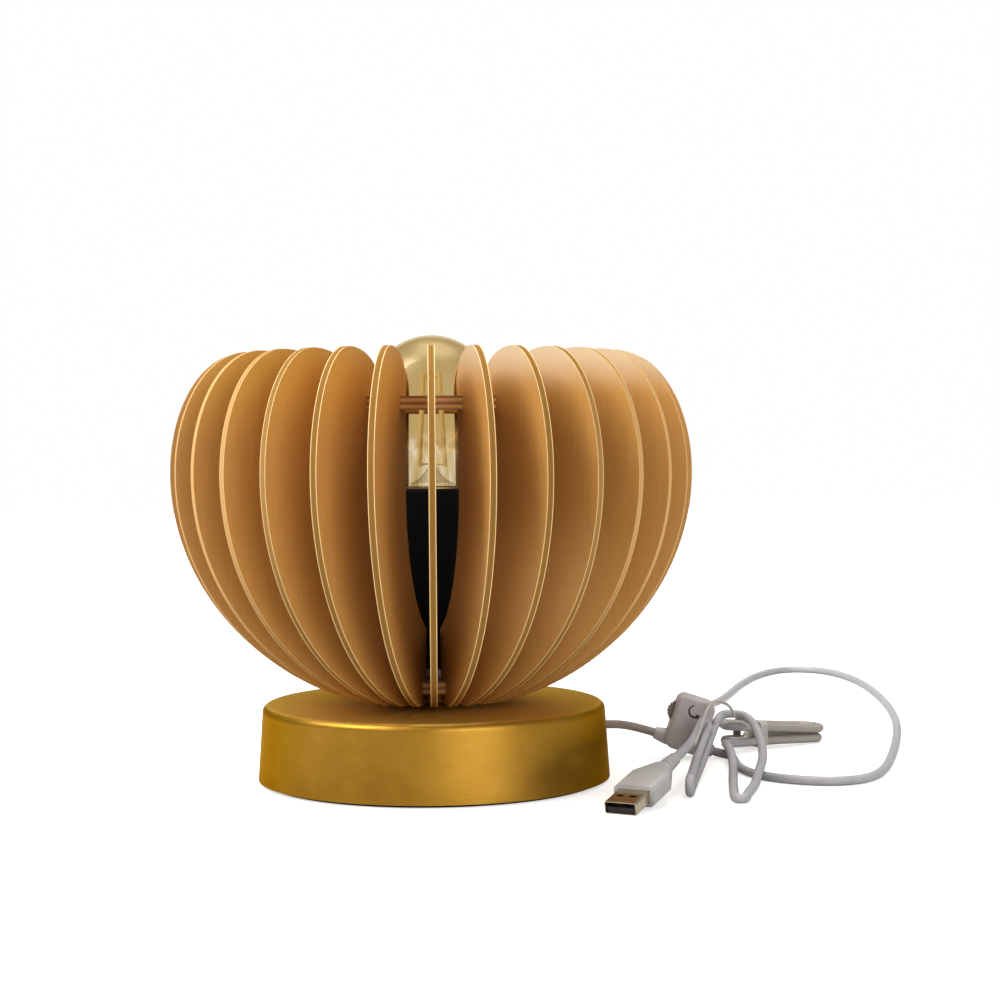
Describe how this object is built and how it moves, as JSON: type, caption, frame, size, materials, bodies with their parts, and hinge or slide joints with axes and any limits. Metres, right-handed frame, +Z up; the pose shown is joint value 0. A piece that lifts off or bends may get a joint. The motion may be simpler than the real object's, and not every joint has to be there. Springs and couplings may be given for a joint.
{
  "type": "table lamp",
  "caption": "Round table lamp with a pumpkin-shaped shade of upright plywood fins on a flat gold base, an amber screw bulb, and a thin cord with an inline dimmer and a USB plug.",
  "frame": {"origin": "centre of the base's underside, on the table top", "axes": "+Z up along the lamp's axis, -Y towards the viewer, so the cord leaves at the right and rear"},
  "size_m": [0.3258, 0.4425, 0.1715],
  "materials": {
    "fin_plywood": "thin plywood, satin, darker core ply between pale outer plies at the edge",
    "ring_plywood": "thicker plywood, cut edge with stripes of plies",
    "base_gold": "spun sheet, soft brushed gold finish",
    "base_iron": "rough casting",
    "foot_felt": "black felt",
    "fixing_steel": "zinc plated",
    "collar_metal": "dull gold",
    "holder_black": "smooth satin black moulding",
    "core_ceramic": "glazed insulator",
    "contact_brass": "bright sheet",
    "amber_glass": "clear amber",
    "cap_metal": "plated sheet with rolled thread",
    "solder": "dull solder",
    "stem_glass": "clear",
    "filament_yellow": "yellow phosphor coating",
    "grommet_rubber": "soft grey",
    "dimmer_plastic": "fine satin moulding",
    "wheel_plastic": "satin, fluted rim",
    "plug_steel": "folded bright sheet",
    "tongue_black": "smooth",
    "plug_plastic": "soft gloss moulding",
    "cord_vinyl": "soft satin sheath",
    "tie_paper": "thin coated wire tie"
  },
  "bodies": {
    "lamp": {"fin_01": "fin_plywood", "fin_02": "fin_plywood", "fin_03": "fin_plywood", "fin_04": "fin_plywood", "fin_05": "fin_plywood", "fin_06": "fin_plywood", "fin_07": "fin_plywood", "fin_08": "fin_plywood", "fin_09": "fin_plywood", "fin_10": "fin_plywood", "fin_11": "fin_plywood", "fin_12": "fin_plywood", "fin_13": "fin_plywood", "fin_14": "fin_plywood", "fin_15": "fin_plywood", "fin_16": "fin_plywood", "fin_17": "fin_plywood", "fin_18": "fin_plywood", "fin_19": "fin_plywood", "fin_20": "fin_plywood", "fin_21": "fin_plywood", "fin_22": "fin_plywood", "fin_23": "fin_plywood", "fin_24": "fin_plywood", "fin_25": "fin_plywood", "fin_26": "fin_plywood", "fin_27": "fin_plywood", "fin_28": "fin_plywood", "fin_29": "fin_plywood", "fin_30": "fin_plywood", "upper_ring": "ring_plywood", "lower_ring": "ring_plywood", "base_shell": "base_gold", "base_weight": "base_iron", "foot_pad": "foot_felt", "threaded_tube": "fixing_steel", "tube_nuts": "fixing_steel", "spacer_collar": "collar_metal", "holder_cap": "holder_black", "holder_skirt": "holder_black", "holder_core": "core_ceramic", "screw_sleeve": "contact_brass", "centre_contact": "contact_brass", "cord_grommet": "grommet_rubber", "dimmer_bottom": "dimmer_plastic", "dimmer_top": "dimmer_plastic", "usb_shell": "plug_steel", "usb_tongue": "tongue_black", "usb_grip": "plug_plastic", "cord_lead": "cord_vinyl", "cord_loop": "cord_vinyl", "cord_hank": "cord_vinyl", "cord_tail": "cord_vinyl", "hank_tie": "tie_paper"},
    "bulb": {"bulb_glass": "amber_glass", "bulb_cap": "cap_metal", "bulb_stem": "stem_glass", "bulb_filaments": "filament_yellow"},
    "bulb_tip": {"bulb_contact": "solder"},
    "thumb_wheel": {"dimmer_wheel": "wheel_plastic"}
  },
  "joints": [
    {"name": "bulb_lift", "type": "slide", "parent": "lamp", "child": "bulb_tip", "axis": [0, 0, 1], "range_m": [0, 0.0181]},
    {"name": "bulb_turn", "type": "hinge", "parent": "bulb_tip", "child": "bulb", "pos_m": [0, 0, 0.1], "axis": [0, 0, 1], "range_deg": [0, 1800]},
    {"name": "dimmer_wheel", "type": "hinge", "parent": "lamp", "child": "thumb_wheel", "pos_m": [0.10015, 0.04264, 0.01904], "axis": [-0.0698, -0.9976, 0], "range_deg": [-135, 135]}
  ],
  "couplings": [
    {"joint": "bulb_turn", "follows": "bulb_lift", "rad_per_m": 1735.7}
  ]
}
